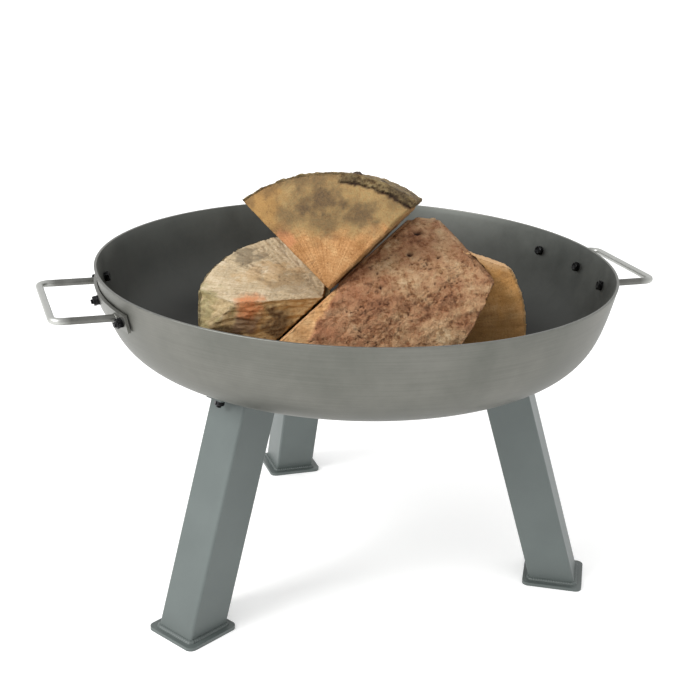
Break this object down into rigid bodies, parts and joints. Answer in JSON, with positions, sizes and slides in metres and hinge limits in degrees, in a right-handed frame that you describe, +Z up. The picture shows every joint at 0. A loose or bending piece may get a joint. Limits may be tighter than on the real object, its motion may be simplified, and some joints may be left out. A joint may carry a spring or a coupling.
{
  "type": "fire pit",
  "caption": "Shallow round steel fire bowl with bolted bar handles, on splayed square-tube legs with flat foot plates, holding split firewood that lifts out.",
  "frame": {"origin": "on the floor, under the axis of the bowl", "axes": "+X towards the right handle, +Y towards the rear leg, +Z up"},
  "size_m": [0.72, 0.6, 0.4908],
  "materials": {
    "bowl_steel": "satin bare rolled steel, darker inside",
    "handle_steel": "satin bare steel",
    "leg_paint": "satin grey-green paint",
    "fastener_black": "black oxide",
    "wood_top": "sawn end grain with grey-green mould and bark",
    "wood_pale": "weathered pale end grain",
    "wood_bark": "rough red-brown bark",
    "wood_tan": "smooth tan split wood"
  },
  "bodies": {
    "pit": {"bowl": "bowl_steel", "handle_strip_left": "handle_steel", "handle_bar_left": "handle_steel", "handle_welds_left": "handle_steel", "handle_packing_left": "fastener_black", "handle_bolts_left": "fastener_black", "handle_washers_left": "fastener_black", "handle_nuts_left": "fastener_black", "handle_strip_right": "handle_steel", "handle_bar_right": "handle_steel", "handle_welds_right": "handle_steel", "handle_packing_right": "fastener_black", "handle_bolts_right": "fastener_black", "handle_washers_right": "fastener_black", "handle_nuts_right": "fastener_black", "leg_tube_front_left": "leg_paint", "leg_lugs_front_left": "leg_paint", "foot_plate_front_left": "leg_paint", "foot_weld_front_left": "leg_paint", "leg_bolts_front_left": "fastener_black", "leg_washers_front_left": "fastener_black", "leg_nuts_front_left": "fastener_black", "leg_tube_front_right": "leg_paint", "leg_lugs_front_right": "leg_paint", "foot_plate_front_right": "leg_paint", "foot_weld_front_right": "leg_paint", "leg_bolts_front_right": "fastener_black", "leg_washers_front_right": "fastener_black", "leg_nuts_front_right": "fastener_black", "leg_tube_rear": "leg_paint", "leg_lugs_rear": "leg_paint", "foot_plate_rear": "leg_paint", "foot_weld_rear": "leg_paint", "leg_bolts_rear": "fastener_black", "leg_washers_rear": "fastener_black", "leg_nuts_rear": "fastener_black"},
    "log_stack": {"log_left": "wood_pale", "log_front": "wood_bark", "log_right": "wood_tan"},
    "top_log": {"log_top": "wood_top"}
  },
  "joints": [
    {"name": "stack_lift", "type": "slide", "parent": "pit", "child": "log_stack", "axis": [0, 0, 1], "range_m": [0, 0.3]},
    {"name": "top_log_lift", "type": "slide", "parent": "log_stack", "child": "top_log", "axis": [0, 0, 1], "range_m": [0, 0.25]}
  ]
}
